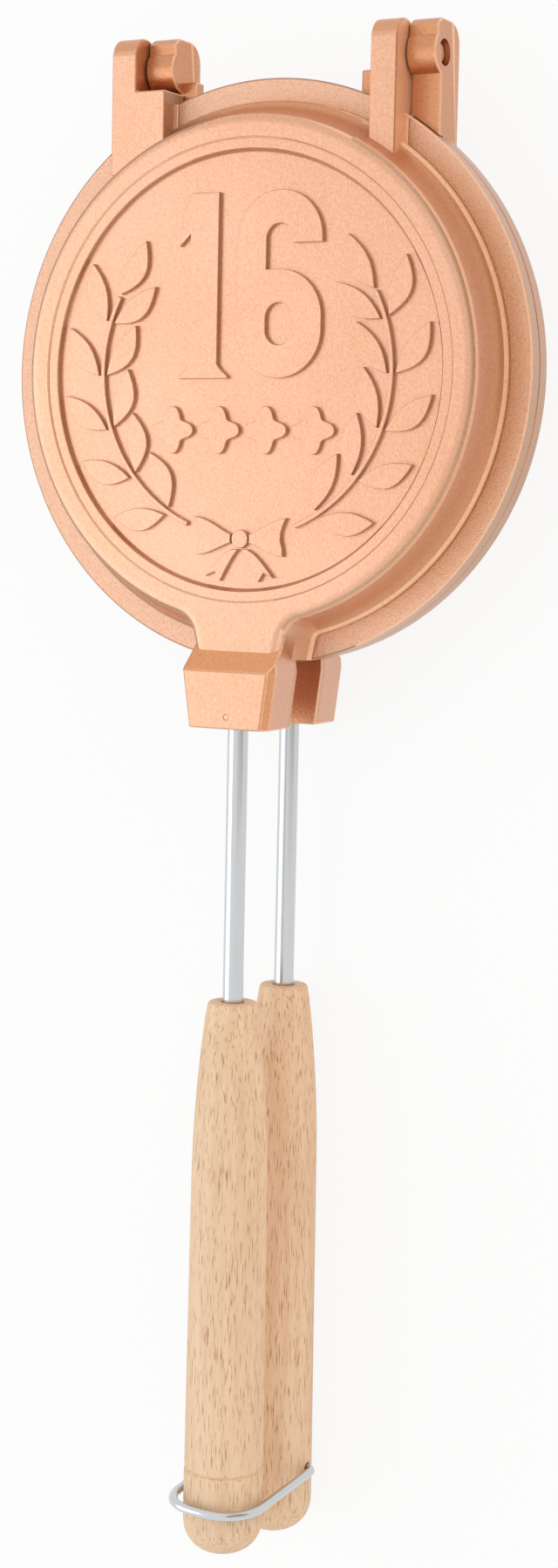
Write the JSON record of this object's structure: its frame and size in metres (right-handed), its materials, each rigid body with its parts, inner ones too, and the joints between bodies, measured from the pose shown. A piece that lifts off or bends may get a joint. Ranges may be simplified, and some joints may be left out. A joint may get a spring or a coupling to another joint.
{
  "type": "stovetop sandwich maker",
  "caption": "Round hinged cast mould in two halves for toasting a filled sandwich over a burner, on long rods with turned wooden grips and a wire ring that holds the grips shut.",
  "frame": {"origin": "centre of the bounding box's footprint, at the height of its lowest point, with the maker lying flat and shut", "axes": "+Z out of the ornamented face, square to the parting plane; +Y from the grips towards the hinge; +X along the hinge axis, to the right seen from above with the hinge away from the viewer"},
  "size_m": [0.145, 0.3926, 0.052],
  "materials": {
    "copper_coat": "cast, with a satin copper-coloured coat",
    "bright_steel": "bright plated",
    "pin_steel": "turned",
    "beech": "turned and sanded, waxed"
  },
  "bodies": {
    "lower": {"lower_mould": "copper_coat", "left_hinge_pin": "pin_steel", "right_hinge_pin": "pin_steel", "lower_rod": "bright_steel", "lower_socket_pin": "pin_steel", "lower_grip": "beech"},
    "upper": {"upper_mould": "copper_coat", "upper_rod": "bright_steel", "upper_socket_pin": "pin_steel", "upper_grip": "beech"},
    "latch": {"latch_ring": "bright_steel"}
  },
  "joints": [
    {"name": "lid_hinge", "type": "hinge", "parent": "lower", "child": "upper", "pos_m": [0, 0.18835, 0.0244], "axis": [-1, 0, 0], "range_deg": [0, 95]},
    {"name": "ring_swing", "type": "hinge", "parent": "lower", "child": "latch", "pos_m": [0, -0.17765, 0.0104], "axis": [1, 0, 0], "range_deg": [0, 250]}
  ]
}
